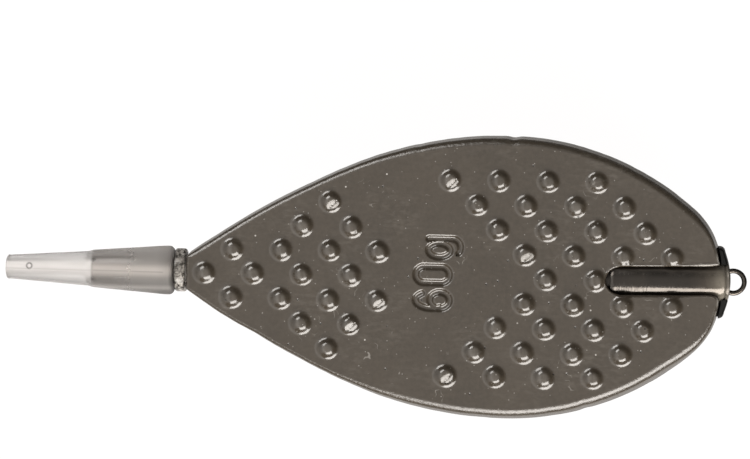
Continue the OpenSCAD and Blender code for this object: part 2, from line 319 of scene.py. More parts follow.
# slope of a stud from its middle out to its foot, for a full and for a flat-topped cast: (radius mm, degrees)
STUD_FULL = ((0, 0), (0.3, 10), (0.5, 19), (0.62, 28), (0.75, 37), (0.9, 42), (1.02, 40), (1.15, 31), (1.25, 22), (1.37, 10), (1.48, 3), (1.6, 0))
STUD_FLAT = ((0, 0), (0.33, 4), (0.48, 11), (0.6, 25), (0.74, 39), (0.9, 45), (1.02, 41), (1.15, 31), (1.25, 22), (1.37, 10), (1.48, 3), (1.6, 0))
STUD_RHO = np.linspace(0, 1.6, 161)


def stud_height(slope):
    drop = np.tan(np.radians(np.interp(STUD_RHO, *zip(*slope))))
    return np.concatenate([np.cumsum(((drop[:-1] + drop[1:]) / 2 * 0.01)[::-1])[::-1], [0.0]])


STUD_H, STUD_H2 = stud_height(STUD_FULL), stud_height(STUD_FLAT)


def arc_pts(cu, cv, ru, rv, a0, a1, n=24):
    """Points of an ellipse arc; angle 0 is towards +u and 90 is down (+v)."""
    return [(cu + ru * math.cos(t), cv + rv * math.sin(t)) for t in np.radians(np.linspace(a0, a1, n))]


def figure_strokes():
    """Centre lines of the weight figure: u runs along the reading direction, v down from the digits' top."""
    six_bowl = arc_pts(1.33, 3.12, 0.92, 1.1, 0, 360, 40)
    six_back = arc_pts(1.33, 2.2, 0.92, 1.8, 150, 322, 26)
    six_back = [(0.41, 3.1)] + six_back
    n0 = 2.88
    nought = (arc_pts(n0 + 1.31, 1.31, 0.9, 0.9, 180, 360, 20) + arc_pts(n0 + 1.31, 3.29, 0.9, 0.9, 0, 180, 20))
    nought.append(nought[0])
    g0 = 5.8
    g_bowl = arc_pts(g0 + 1.16, 3.02, 0.76, 1.22, 0, 360, 36)
    g_stem = [(g0 + 2.45, 1.82), (g0 + 2.45, 4.5)] + arc_pts(g0 + 1.5, 4.5, 0.95, 0.9, 0, 128, 18)[1:]
    return [six_bowl, six_back, nought, g_bowl, g_stem]


FIG_X, FIG_Y = 4.55, -3.95


def figure_samples():
    pts = []
    for line in figure_strokes():
        q = np.array(line)
        for a, b in zip(q[:-1], q[1:]):
            n = max(1, int(np.linalg.norm(b - a) / 0.03))
            for k in range(n):
                pts.append(a + (b - a) * k / n)
        pts.append(q[-1])
    pts = np.array(pts)
    return np.c_[FIG_X + pts[:, 1], FIG_Y + pts[:, 0]]


FIG = figure_samples()
FIG_TREE = kdtree.KDTree(len(FIG))
for n_, p_ in enumerate(FIG):
    FIG_TREE.insert((p_[0], p_[1], 0), n_)
FIG_TREE.balance()
FIG_LO, FIG_HI = FIG.min(0) - 0.8, FIG.max(0) + 0.8


def relief(q):
    """Height of the grip face over its plane at points q, and how worn it is there."""
    h = np.array([0.018 * wave(x, y, 1.7, 7.0) + 0.006 * wave(x, y, 5.1, 2.2) for x, y in q])
    worn = np.zeros(len(q))
    for s in STUDS:
        d = q - (s["x"], s["y"])
        rho = np.hypot(d[:, 0], d[:, 1])
        near = rho < 2.2
        if not near.any():
            continue
        rr, dd = rho[near], d[near]
        # slightly uneven round, as cast
        a = np.arctan2(dd[:, 1], dd[:, 0])
        rr = rr * (1 + 0.02 * np.sin(2 * a + 40 * s["lean"][0]) + 0.012 * np.sin(3 * a + 60 * s["lean"][1]))
        dome = s["h"] * np.interp(rr / s["r"], STUD_RHO, STUD_H * (1 - s["flat"]) + STUD_H2 * s["flat"])
        dome = dome + dd @ s["lean"] * (dome / STUD_H[0])
        if s["worn"]:
            # a scuffed facet low on the nose side, with a score across it
            cut = (0.90 - 0.07 * s["worn"]) * STUD_H[0] - (dd[:, 0] * 0.30 - dd[:, 1] * 0.46)
            over = (dome > cut) & (rr < 0.9)
            worn_here = np.where(over, np.clip((dome - cut) / 0.05, 0, 1) * s["worn"], 0)
            score = np.exp(-(((dd[:, 0] - 0.9 * dd[:, 1]) / 1.345 - 0.36 - 0.06 * s["worn"]) / 0.055) ** 2)
            dome = np.where(over, cut + 0.25 * (dome - cut) - 0.08 * score, dome)
            worn_here = worn_here * (1 - score)
            w_all = worn[near]
            worn[near] = np.maximum(w_all, worn_here)
        worn[near] = np.maximum(worn[near], s["rub"] * np.exp(-(rr / 0.62) ** 4))
        h[near] += dome
    box = (q > FIG_LO).all(1) & (q < FIG_HI).all(1)
    for k in np.nonzero(box)[0]:
        dist = FIG_TREE.find((q[k, 0], q[k, 1], 0))[2]
        h[k] -= 0.5 * 0.29 * (1 - math.erf((dist - 0.29) / 0.145))
    return h, worn


# ---------------------------------------------------------------- cast weight
def build_lead():
    loop, edge = leaf_loop(0.27)
    n = len(loop)
    # ease the edge radius from one stretch to the next
    for _ in range(14):
        edge = (np.roll(edge, 1) + 2 * edge + np.roll(edge, -1)) / 4
    inn = loop_normals(loop)
    in_slot = ((loop[:, 0] > SLOT_X - 0.2) & (loop[:, 0] < NOSE_X - 0.02)
               & (loop[:, 1] < slot_edge(loop[:, 0], 1) + 0.05) & (loop[:, 1] > slot_edge(loop[:, 0], -1) - 0.05))
    soft = np.clip((36.5 - loop[:, 0]) / 2, 0, 1) * np.clip((loop[:, 0] - SLOT_X - 0.8) / 1.5, 0, 1) * (loop[:, 1] < 0)
    edge = np.where(in_slot, np.minimum(edge, 0.24) + 0.2 * soft, edge)
    # small casting unevenness of the rim and a few nicks, away from the slot
    uneven = np.array([0.05 * wave(x, y, 9.3, 3.0) + 0.025 * wave(x, y, 2.3, 0.9) for x, y in loop])
    for cx, cy, size, depth in ((15.65, 15.85, 0.55, 0.16), (5.0, 15.0, 0.5, 0.04), (36.4, -6.8, 0.5, 0.14),
                                (-8.0, 9.2, 0.4, 0.08), (24.0, -14.5, 0.5, 0.10), (-12.5, -6.6, 0.4, 0.1)):
        uneven += depth * np.exp(-((loop[:, 0] - cx) ** 2 + (loop[:, 1] - cy) ** 2) / size ** 2)
    uneven = np.where(in_slot, 0.012 * np.array([wave(x, y, 4.4, 0.8) for x, y in loop]), np.maximum(uneven, -0.01))
    base = loop + inn * uneven[:, None]
    verts, worn, faces, on_rim, bare = [], [], [], {}, {}

    def ring(p, z, w=None):
        start = len(verts)
        verts.extend((x, y, zz) for (x, y), zz in zip(p, z))
        worn.extend(np.zeros(len(p)) if w is None else w)
        return np.arange(start, start + len(p))

    def strip(a, b):
        for i in range(n):
            j = (i + 1) % n
            faces.append((a[i], a[j], b[j], b[i]))

    # underside, wall, then the rounded upper edge
    rows = []
    lower = np.clip((loop[:, 0] + 17) / 4, 0, 1) * np.clip((36.5 - loop[:, 0]) / 3, 0, 1) * (loop[:, 1] < 0)
    draft = np.where(in_slot, 0.0, 0.2 + 0.27 * lower)
    for _ in range(6):
        draft = (np.roll(draft, 1) + 2 * draft + np.roll(draft, -1)) / 4
    for off, lean, z in ((0.33, 0, LEAD_Z0), (0.10, 0, LEAD_Z0 + 0.06), (0.02, 0, LEAD_Z0 + 0.2), (0.0, 0.02, LEAD_Z0 + 0.45),
                         (0.0, 0.4, LEAD_Z0 + 1.4), (0.0, 0.75, LEAD_Z0 + 2.3)):
        off_n = np.where(in_slot, 0.0, off) + draft * lean
        rows.append(ring(base + inn * off_n[:, None], np.full(n, z)))
    for th in np.radians([0, 14, 28, 42, 56, 70, 81, 90]):
        p = base + inn * (draft + edge * (1 - math.cos(th)))[:, None]
        h, w = relief(p)
        burr = np.where(in_slot & (loop[:, 1] > 0.3), 0.07 * np.sin(th) ** 2, 0.0)
        burr = burr * (0.6 + 0.8 * np.array([max(0.0, wave(x, 3.0, 1.0, 1.3)) for x, _ in loop])
                       + 1.2 * np.exp(-((loop[:, 0] - 37.4) / 0.9) ** 2))
        rows.append(ring(p, LEAD_Z1 - edge * (1 - math.sin(th)) + h * math.sin(th) ** 0.5 + burr, w))
        on_rim.update((i, 1.0 if th < 1.5 else 0.4) for i in rows[-1])
        # painted highlight, partly chipped bare lead: lighter colour along the rounded nose edge and on the slot's
        # upper edge near the mouth
        chip_and_glint = np.clip((loop[:, 0] - 38.5) / 0.4, 0, 1) * (0.45 + 0.8 * np.array([wave(x, y, 6.1, 0.7) for x, y in loop]))
        slot_nick_glint = np.exp(-((loop[:, 0] - 37.4) / 0.9) ** 2) * (in_slot & (loop[:, 1] > 0.3))
        bare.update(zip(rows[-1], np.clip(np.maximum(chip_and_glint * math.exp(-((th - 0.6) / 0.4) ** 2), slot_nick_glint * math.sin(th)), 0, 1)))
    for a, b in zip(rows[:-1], rows[1:]):
        strip(a, b)
    rim_idx = rows[-1]
    rim = np.array([verts[i][:2] for i in rim_idx])

    # points of the face: rings round each stud, a fine patch at the figure, a loose grid elsewhere
    pts = []
    for s in STUDS:
        pts.append((s["x"], s["y"]))
        for rad, seg in ((0.12, 6), (0.24, 12), (0.36, 18), (0.46, 22), (0.56, 26), (0.66, 28), (0.75, 30), (0.83, 32),
                         (0.91, 32), (0.99, 32), (1.07, 32), (1.15, 32), (1.23, 32), (1.31, 32), (1.40, 30), (1.50, 28), (1.62, 26)):
            for k in range(seg):
                a = 2 * math.pi * (k + 0.5 * (int(rad * 100) % 2)) / seg
                pts.append((s["x"] + rad * math.cos(a), s["y"] + rad * math.sin(a)))
    nx, ny = int((FIG_HI[0] - FIG_LO[0]) / 0.085), int((FIG_HI[1] - FIG_LO[1]) / 0.085)
    for a in range(nx + 1):
        for b in range(ny + 1):
            pts.append((FIG_LO[0] + (a + 0.5 * (b % 2)) * 0.085, FIG_LO[1] + b * 0.085))
    fine = np.array(pts)
    grid = np.array([(-21 + (a + 0.5 * (b % 2)) * 0.75, -16 + b * 0.65) for a in range(82) for b in range(50)])
    keep = np.ones(len(grid), bool)
    for s in STUDS:
        keep &= np.hypot(grid[:, 0] - s["x"], grid[:, 1] - s["y"]) > 1.9
    keep &= ~((grid > FIG_LO - 0.2).all(1) & (grid < FIG_HI + 0.2).all(1))
    # a band of points just inside the rim, so that the last ring runs on smoothly
    band = np.vstack([rim + loop_normals(rim) * d for d in (0.15, 0.4)])
    pts = np.vstack([fine, grid[keep], band])
    pts = pts[inside(rim, pts)]
    tree = kdtree.KDTree(len(rim))
    for i, (x, y) in enumerate(rim):
        tree.insert((x, y, 0), i)
    tree.balance()
    pts = np.array([p for p in pts if tree.find((p[0], p[1], 0))[2] > 0.11])
    # thin out points that crowd together
    pts = pts[np.unique(np.round(pts / 0.045).astype(int), axis=0, return_index=True)[1]]

    coords = [Vector(p) for p in rim] + [Vector(p) for p in pts]
    edges = [(i, (i + 1) % n) for i in range(n)]
    cv, _, cf, orig, _, _ = geometry.delaunay_2d_cdt(coords, edges, [], 1, 1e-7)
    inner = np.array([tuple(c) for c in cv])
    h, w = relief(inner)
    index = np.empty(len(cv), int)
    for i, o in enumerate(orig):
        first = min(o) if o else -1
        if 0 <= first < n:
            index[i] = rim_idx[first]
        else:
            index[i] = len(verts)
            verts.append((inner[i, 0], inner[i, 1], LEAD_Z1 + h[i]))
            worn.append(w[i])
    faces.extend(tuple(index[k] for k in f) for f in cf)
    # underside
    bot = rows[0]
    coords = [Vector(verts[i][:2]) for i in bot]
    cv, _, cf, orig, _, _ = geometry.delaunay_2d_cdt(coords, edges, [], 1, 1e-7)
    index = [bot[min(o)] for o in orig]
    faces.extend(tuple(index[k] for k in f) for f in cf)

    ob = finish_mesh("lead_weight_casting", verts, faces)
    att = ob.data.attributes.new("worn", "FLOAT", "POINT")
    att.data.foreach_set("value", np.array(worn, np.float32))
    att = ob.data.attributes.new("rim", "FLOAT", "POINT")
    att.data.foreach_set("value", np.array([on_rim.get(i, 0.0) for i in range(len(verts))], np.float32))
    att = ob.data.attributes.new("bare", "FLOAT", "POINT")
    att.data.foreach_set("value", np.array([bare.get(i, 0.0) for i in range(len(verts))], np.float32))
    boolean(ob, [rod("t", 1.65, TAIL_X - 2, SLOT_X - 0.5), rod("t", 2.25, SLOT_X - 1, NOSE_X + 2)], "DIFFERENCE")
    smooth(ob, 40)
    return ob


lead = build_lead()


# ---------------------------------------------------------------- bait cage
def plate_rings(name, loop, rows):
    """Solid from one plan loop: rows of (inset, z) from bottom to top, capped flat."""
    inn = loop_normals(loop)
    sections = [[(x, y, z) for x, y in loop + inn * off] for off, z in rows]
    return loft(name, sections)


def rib(name, x0, x1, x2, x3, crest, centre):
    """A rib from its foot in the floor down to a rounded crest, eased at both ends."""
    sections = []
    xs = np.concatenate([x0 + (x1 - x0) * np.linspace(0, 1, 26) ** 1.15, np.linspace(x1, x2, 18)[1:-1],
                         x3 + (x2 - x3) * np.linspace(1, 0, 26) ** 1.15])
    for x in xs:
        if x < x1:
            zc = FLOOR_Z0 - (FLOOR_Z0 - crest) * math.sin(math.pi / 2 * (x - x0) / (x1 - x0))
        elif x > x2:
            zc = FLOOR_Z0 - (FLOOR_Z0 - crest) * math.sin(math.pi / 2 * (x3 - x) / (x3 - x2))
        else:
            zc = crest
        y0, slope = centre(x)
        nrm = np.array([-slope, 1.0]) / math.hypot(slope, 1)
        height = FLOOR_Z0 + 0.35 - zc
        rnd = min(0.42, height * 0.5)
        prof = []
        for t in np.concatenate([np.linspace(0, 1, 9) ** 2 * 0.3, np.linspace(0.3, 1, 6)[1:]]):
            z = FLOOR_Z0 + 0.35 - t * (height - rnd)
            flare = 0.42 * math.exp(-max(0.0, FLOOR_Z0 - z) / 0.28) if z < FLOOR_Z0 else 0.42
            prof.append((0.60 + 0.13 * (z - zc) / max(height, 1e-6) + flare, z))
        hw = prof[-1][0]
        for a in np.radians([18, 36, 54, 72, 90]):
            prof.append((hw - rnd * (1 - math.cos(a)), zc + rnd * (1 - math.sin(a))))
        sec = [(x + nrm[0] * w, y0 + nrm[1] * w, z) for w, z in prof]
        sec += [(x - nrm[0] * w, y0 - nrm[1] * w, z) for w, z in reversed(prof)]
        sections.append(sec)
    return loft(name, sections)


def build_cage():
    loop, _ = leaf_loop(0.5, slot=False, tail_r=0.8)
    keep = loop + loop_normals(loop) * 0.8
    cage = plate_rings("bait_cage_moulding", keep,
                       [(0.45, FLOOR_Z0), (0.2, FLOOR_Z0 + 0.06), (0.06, FLOOR_Z0 + 0.2), (0.0, FLOOR_Z0 + 0.45),
                        (0.0, FLOOR_Z1 - 0.12), (0.1, FLOOR_Z1)])
    tools = []
    for s in (-1, 1):
        tools.append(rib("r", -15, -5, 23, 33, 0.0, lambda x, s=s: (s * 4.2, 0.0)))

        def bow(x, s=s):
            y = 11.3 - 60 + math.sqrt(3600 - (x - 12) ** 2)
            return s * y, -s * (x - 12) / math.sqrt(3600 - (x - 12) ** 2)
        tools.append(rib("r", -7, 2, 22, 30, 1.2, bow))
    # low cross bars
    for x in (-5, 9, 23):
        w = 10.6 - (x - 12) ** 2 / 120
        secs = []
        for y in np.linspace(-w, w, 40):
            prof = []
            for z in (FLOOR_Z0 + 0.3, FLOOR_Z0, FLOOR_Z0 - 0.1, FLOOR_Z0 - 0.25, FLOOR_Z0 - 0.5, FLOOR_Z0 - 1.0):
                prof.append((0.5 + 0.35 * math.exp(-max(0.0, FLOOR_Z0 - z) / 0.2), z))
            hw = prof[-1][0]
            for a in np.radians([22, 45, 68, 90]):
                prof.append((hw - 0.4 * (1 - math.cos(a)), FLOOR_Z0 - 1.0 - 0.4 * math.sin(a)))
            secs.append([(x + q, y, z) for q, z in prof] + [(x - q, y, z) for q, z in reversed(prof)])
        tools.append(loft("bar", secs))
    tools.append(rod("s", 3.0, TAIL_X + 0.9, SLOT_X + 2, 64, 0.6))
    tools.append(rod("s", 3.1, SLOT_X - 1.4, 36.5, 64, 0.8))
    # nose hub with a bowed front
    r, hx, hh = 8.8, 40.08, 3.95
    ymax = hh - 0.75
    front = [(hx - r + math.sqrt(r * r - y * y), y) for y in np.linspace(-ymax, ymax, 36)]
    tip = (hx - r + math.sqrt(r * r - hh * hh), hh)
    hub = front[:]
    hub += fillet(front[-2], (tip[0] + 0.14, hh), (34, hh), 0.6, 6)[0]
    hub += [(34.5, hh), (34.5, -hh)]
    hub += [(x, -y) for x, y in fillet(front[-2], (tip[0] + 0.14, hh), (34, hh), 0.6, 6)[0]][::-1]
    hub = resample([(x, y + LEAF_OFF, 0) for x, y in hub], 0.25)[0]
    hz0, hz1 = AXIS_Z - 2.2 - 1.3, 12.9
    hub = plate_rings("hub", hub, [(0.5, hz0), (0.18, hz0 + 0.1), (0.05, hz0 + 0.3), (0.0, hz0 + 0.6), (0.0, hz1 - 0.35),
                                   (0.06, hz1 - 0.15), (0.2, hz1 - 0.03), (0.4, hz1)])
    grown = loop - loop_normals(loop) * 0.08
    cut = plate_rings("cut", grown, [(0, FLOOR_Z1), (0, FLOOR_Z1 + 8)])
    boolean(hub, [cut], "DIFFERENCE")
    top = loft("top", [[(-60, -20, z), (60, -20, z), (60, 20, z), (-60, 20, z)] for z in (FLOOR_Z1 - 0.25, 30)])
    spine = boolean(tools[-2], [tools[-1]], "UNION")
    boolean(spine, [top], "DIFFERENCE")
    tools = tools[:-2] + [spine, hub]
    boolean(cage, tools, "UNION")
    boolean(cage, [rod("t", 1.65, TAIL_X - 2, SLOT_X - 0.5), rod("t", 2.25, SLOT_X - 1, 42)],
            "DIFFERENCE")
    # slivers left by the cuts
    bm = bmesh.new()
    bm.from_mesh(cage.data)
    bmesh.ops.dissolve_degenerate(bm, dist=0.002 * MM, edges=bm.edges)
    bm.to_mesh(cage.data)
    bm.free()
    smooth(cage, 32)
    return cage


cage = build_cage()


# ---------------------------------------------------------------- insert, collar, sleeve
def arc2(x, r, rad, a0, a1, n=5):
    return [(x + rad * math.cos(t), r + rad * math.sin(t)) for t in np.radians(np.linspace(a0, a1, n))]


def build_insert():
    lip, sock, bore, x0 = 2.12, 2.2, 1.62, SLOT_X + 0.5
    loop = [(-32.1, 0.9)] + arc2(-31.9, 1.15, 0.2, 180, 90, 5)
    loop += [(x, 1.35) for x in np.linspace(-31.4, -21.1, 24)]
    loop += [(-21.1, 1.6)] + [(x, 1.6) for x in np.linspace(-20.7, x0, 30)]
    loop += [(x0, sock - 0.1)] + arc2(x0 + 0.1, sock - 0.1, 0.1, 180, 90, 6)[1:]
    loop += [(x, sock) for x in np.linspace(x0 + 0.3, 38.8, 240)]
    loop += [(39.1, sock - 0.02), (39.3, sock - 0.05), (39.48, lip)]
    # groove and bead of the lip
    loop += [(39.56, lip - 0.05), (39.61, lip - 0.13), (39.66, lip - 0.16), (39.71, lip - 0.12), (39.76, lip - 0.02)]
    loop += arc2(39.96, lip - 0.14, 0.14, 125, 0, 7) + arc2(39.96, bore + 0.14, 0.14, 0, -90, 6)
    loop += [(x, bore) for x in np.linspace(39.5, 29.4, 16)] + [(28.6, 0.9)]
    loop += [(x, 0.9) for x in np.linspace(28, -31.5, 30)]

    def shift(x, r, a):
        # turning rings and a soft waviness on the socket
        if r > 2.0 and x0 + 0.25 < x < 39.0:
            deep = (0.03 if x < 30.9 else 0.006) * min(1.0, max(0.15, 0.4 - 2.4 * math.cos(a)))
            r += 0.09 * min(1.0, max(0.0, (math.sin(a) - 0.72) / 0.12)) * min(1.0, max(0.0, (33.0 - x) / 3.5))
            return r + deep * wave(x * 7.0, 0.4, 0.6 * math.sin(a), 1.0) + 0.008 * wave(x, math.cos(a) * 2, math.sin(a) * 2, 1.6)
        return r
    ob = lathe("insert_tube_moulding", loop, 128, shift)
    # the lip's front is bowed across like the hub round it
    for v in ob.data.vertices:
        x, y = v.co.x / MM, v.co.y / MM
        if x > 38.6:
            v.co.x -= MM * y * y / 17.6 * min(1.0, (x - 38.6) / 0.9)
    ob.data.update()
    return ob


def build_collar():
    x0, x1, r = -22.62, TAIL_X - 0.05, 2.47
    loop = [(x0, 1.38), (x0, r - 0.45)] + arc2(x0 + 0.35, r - 0.35, 0.35, 175, 90, 7)
    loop += [(x, r) for x in np.linspace(x0 + 0.5, x1 - 0.45, 8)] + arc2(x1 - 0.3, r - 0.3, 0.3, 90, 5, 7)
    loop += [(x1, r - 0.5), (x1, 1.38)]

    def shift(x, r, a):
        if r > 1.6:
            return r + 0.03 * wave(x * 1.4, 2.5 * math.cos(a), 2.5 * math.sin(a), 0.8) - 0.015
        return r
    return lathe("tail_collar_ring", loop, 96, shift)


def build_sleeve():
    x0, x1, r0, r1 = -41.95, -22.75, 1.36, 2.76
    outer = [(x0, 0.65), (x0, 0.85)] + arc2(x0 + 0.28, r0 - 0.26, 0.28, 180, 100, 7)
    for x in np.linspace(x0 + 0.4, x1 - 0.75, 200):
        if x < -32.8:
            r = r0 + (1.95 - r0) * (x - x0 - 0.45) / (-32.8 - x0 - 0.45)
        elif x < -31.8:
            t = (x + 32.8) / 1.0
            r = 1.95 + 0.2 * t * t * (3 - 2 * t)
        else:
            r = 2.15 + (r1 - 2.15) * (x + 31.8) / (x1 - 1 + 31.8)
        outer.append((x, min(r, r1)))
    outer += arc2(x1 - 0.55, r1 - 0.55, 0.55, 90, 10, 9) + [(x1, r1 - 0.75), (x1, 1.6), (x1 - 0.15, 1.42)]
    inner = [(x, 1.42) for x in np.linspace(x1 - 0.6, -32.4, 12)] + [(-33.2, 0.65)]
    inner += [(x, 0.65) for x in np.linspace(-34, x0 + 0.4, 8)]

    def shift(x, r, a):
        if r < 1.0 or (r < 1.5 and x > -32):
            return r
        up = math.sin(a)
        # mould seam along the top and bottom, and the gate mark near the tip
        side = math.cos(a) * r
        seam = 0.022 * math.exp(-((side + 0.13) / 0.07) ** 2) if abs(up) > 0.5 else 0.0
        rr = r + seam + 0.012 * wave(x, 3 * math.cos(a), 3 * up, 1.7) - 0.06 * math.cos(a)
        if up > 0:
            d = math.hypot(x + 39.15, side - 0.2)
            rr += 0.05 * math.exp(-((d - 0.3) / 0.09) ** 2) - 0.03 * math.exp(-(d / 0.2) ** 2)
        return rr
    ob = lathe("tail_sleeve_soft", outer + inner, 144, shift)
    # seam and gate mark for the colour, with painted shade at the stem's end
    co = np.empty(len(ob.data.vertices) * 3)
    ob.data.vertices.foreach_get("co", co)
    co = co.reshape(-1, 3) / MM
    rad = np.hypot(co[:, 1], co[:, 2] - AXIS_Z)
    skin = (rad > 1.0) & (np.abs(co[:, 2] - AXIS_Z) > 0.5 * rad)
    ring = np.exp(-((np.hypot(co[:, 0] + 39.15, co[:, 1] - 0.2) - 0.3) / 0.09) ** 2) * (co[:, 2] > AXIS_Z)
    line = np.where(co[:, 0] < -32, 0.3, 0.42) * np.exp(-((co[:, 1] + 0.13) / 0.05) ** 2) * (co[:, 0] < -23.6)
    # painted shade: dark corners of the stem's end, seen through the skin
    for cx, cy, a, b, deep in ((-31.72, 1.05, 0.24, 0.2, 0.9), (-31.75, -1.12, 0.26, 0.28, 1.0), (-31.85, 0, 0.08, 1.6, 0.3)):
        line = np.maximum(line, deep * np.exp(-((co[:, 0] - cx) / a) ** 2 - ((co[:, 1] - cy) / b) ** 4))
    att = ob.data.attributes.new("seam_mark_and_shade", "FLOAT", "POINT")
    att.data.foreach_set("value", np.where(skin, np.maximum(ring, line), 0.0).astype(np.float32))
    att = ob.data.attributes.new("side", "FLOAT", "POINT")
    att.data.foreach_set("value", (0.5 + 0.5 * co[:, 1] / rad).astype(np.float32))
    return ob


insert = build_insert()
collar = build_collar()
sleeve = build_sleeve()


# ---------------------------------------------------------------- swivel
def build_barrel():
    b0, b1 = 35.95 - 2.25, 35.95 + 2.25
    hole = 0.36
    prof = []
    for t in np.linspace(0, 1, 14):
        a = math.pi / 2 * t
        prof.append((b0 + 1.3 * (1 - math.sin(a)) ** 1.0, 0.7 + 0.75 * math.cos(a) ** 0.8 if t < 1 else 0.7))
    prof = prof[::-1]
    mid = [(b0 + 1.45, 1.45), (b0 + 1.6, 1.41), (b0 + 1.7, 1.41), (b0 + 1.85, 1.45)]
    left = [(b0, hole)] + [(b0, 0.5)] + prof + mid
    right = [(2 * 35.95 - x, r) for x, r in left][::-1]
    loop = left + right
    inner = [(b1 - 0.5, hole), (b1 - 1.0, 0.95), (b1 - 1.3, 1.05), (b0 + 1.3, 1.05), (b0 + 1.0, 0.95), (b0 + 0.5, hole)]
    return lathe("swivel_barrel_shell", loop + inner, 64)


def build_eye(name, s):
    """Ring, shank and headed end of one eye, swept in one surface and joined."""
    cx = 35.95 + s * 4.45
    seg, ring = 72, 20
    v, f = [], []
    for i in range(seg):
        t = 2 * math.pi * i / seg
        c = np.array([cx + 1.25 * math.cos(t), 1.25 * math.sin(t), AXIS_Z])
        o = np.array([math.cos(t), math.sin(t), 0])
        wr = 0.28 * (1 + 0.02 * math.sin(3 * t))
        for k in range(ring):
            a = 2 * math.pi * k / ring
            v.append(c + wr * (math.cos(a) * o + math.sin(a) * np.array([0, 0, 1])))
    for i in range(seg):
        for k in range(ring):
            j, m = (i + 1) % seg, (k + 1) % ring
            f.append((i * ring + k, i * ring + m, j * ring + m, j * ring + k))
    ob = finish_mesh(name, v, f)
    # shank with a flared root at the ring and a head inside the barrel
    x_root = cx - s * 1.2
    prof = [(x_root, 0.20), (x_root, 0.30), (x_root - s * 0.18, 0.285), (x_root - s * 0.35, 0.265), (x_root - s * 1.95, 0.262),
            (x_root - s * 1.98, 0.6), (x_root - s * 2.02, 0.7), (x_root - s * 2.35, 0.7), (x_root - s * 2.42, 0.6), (x_root - s * 2.45, 0.25)]
    n = 24
    v, f = [], []
    for x, r in prof:
        for k in range(n):
            a = 2 * math.pi * k / n
            v.append((x, r * math.cos(a), AXIS_Z + r * math.sin(a)))
    for i in range(len(prof) - 1):
        for k in range(n):
            m = (k + 1) % n
            f.append((i * n + k, i * n + m, (i + 1) * n + m, (i + 1) * n + k))
    f.append(tuple(range(n)))
    f.append(tuple(range((len(prof) - 1) * n, len(prof) * n)))
    boolean(ob, [finish_mesh("shank", v, f)], "UNION")
    smooth(ob, 40)
    return ob


barrel = build_barrel()
front_eye = build_eye("swivel_front_eye_wire", 1)
rear_eye = build_eye("swivel_rear_eye_wire", -1)


# ---------------------------------------------------------------- materials
class Mat:
    """Small helper round a node tree; every texture runs on object coordinates, in metres."""

    def __init__(self, name, **consts):
        self.m = bpy.data.materials.new(name)
        self.m.use_nodes = True
        self.t = self.m.node_tree
        self.b = self.t.nodes["Principled BSDF"]
        for k, val in consts.items():
            self.b.inputs[k.replace("_", " ")].default_value = val
        self.co = self.node("ShaderNodeTexCoord").outputs["Object"]

    def node(self, kind, **props):
        nd = self.t.nodes.new(kind)
        for k, val in props.items():
            setattr(nd, k, val)
        return nd

    def link(self, a, b):
        self.t.links.new(a, b)

    def mapped(self, scale=(1, 1, 1), rot=(0, 0, 0)):
        mp = self.node("ShaderNodeMapping")
        mp.inputs["Scale"].default_value = scale
        mp.inputs["Rotation"].default_value = rot
        self.link(self.co, mp.inputs["Vector"])
        return mp.outputs["Vector"]

    def noise(self, size_mm, detail=3.0, rough=0.5, vec=None, distort=0.0):
        nz = self.node("ShaderNodeTexNoise")
        nz.inputs["Scale"].default_value = 1000.0 / size_mm
        nz.inputs["Detail"].default_value = detail
        nz.inputs["Roughness"].default_value = rough
        nz.inputs["Distortion"].default_value = distort
        self.link(vec or self.co, nz.inputs["Vector"])
        return nz.outputs["Fac"]

    def voronoi(self, size_mm, vec=None, rand=1.0):
        vo = self.node("ShaderNodeTexVoronoi", voronoi_dimensions="2D")
        vo.inputs["Scale"].default_value = 1000.0 / size_mm
        vo.inputs["Randomness"].default_value = rand
        self.link(vec or self.co, vo.inputs["Vector"])
        return vo

    def ramp(self, fac, *stops):
        r = self.node("ShaderNodeValToRGB")
        e = r.color_ramp.elements
        while len(e) < len(stops):
            e.new(0.5)
        for el, (pos, col) in zip(e, stops):
            el.position = pos
            el.color = (*col, 1) if len(col) == 3 else col
        self.link(fac, r.inputs["Fac"])
        return r.outputs["Color"]

    def span(self, fac, a, b, lo=0.0, hi=1.0):
        mr = self.node("ShaderNodeMapRange")
        mr.inputs["From Min"].default_value = a
        mr.inputs["From Max"].default_value = b
        mr.inputs["To Min"].default_value = lo
        mr.inputs["To Max"].default_value = hi
        self.link(fac, mr.inputs["Value"])
        return mr.outputs["Result"]

    def math(self, op, a, b):
        mt = self.node("ShaderNodeMath", operation=op)
        for s, val in zip(mt.inputs, (a, b)):
            if isinstance(val, (int, float)):
                s.default_value = val
            else:
                self.link(val, s)
        return mt.outputs[0]

    def mix(self, fac, a, b):
        mx = self.node("ShaderNodeMix", data_type="RGBA")
        fs, sa, sb = mx.inputs[0], mx.inputs[6], mx.inputs[7]
        for s, val in ((fs, fac), (sa, a), (sb, b)):
            if isinstance(val, (int, float)):
                s.default_value = val
            elif isinstance(val, tuple):
                s.default_value = (*val, 1)
            else:
                self.link(val, s)
        return mx.outputs[2]

    def mult(self, a, b):
        mx = self.node("ShaderNodeMix", data_type="RGBA", blend_type="MULTIPLY")
        mx.inputs[0].default_value = 1.0
        self.link(a, mx.inputs[6])
        self.link(b, mx.inputs[7])
        return mx.outputs[2]

    def bump(self, height, dist_mm, strength=1.0, after=None):
        bp = self.node("ShaderNodeBump")
        bp.inputs["Strength"].default_value = strength
        bp.inputs["Distance"].default_value = dist_mm * MM
        self.link(height, bp.inputs["Height"])
        if after is not None:
            self.link(after, bp.inputs["Normal"])
        return bp.outputs["Normal"]

    def attr(self, name):
        a = self.node("ShaderNodeAttribute", attribute_name=name)
        return a.outputs["Fac"]

    def axis(self, which):
        s = self.node("ShaderNodeSeparateXYZ")
        self.link(self.co, s.inputs[0])
        return s.outputs[which]

    def use(self, socket, out):
        self.link(out, self.b.inputs[socket])


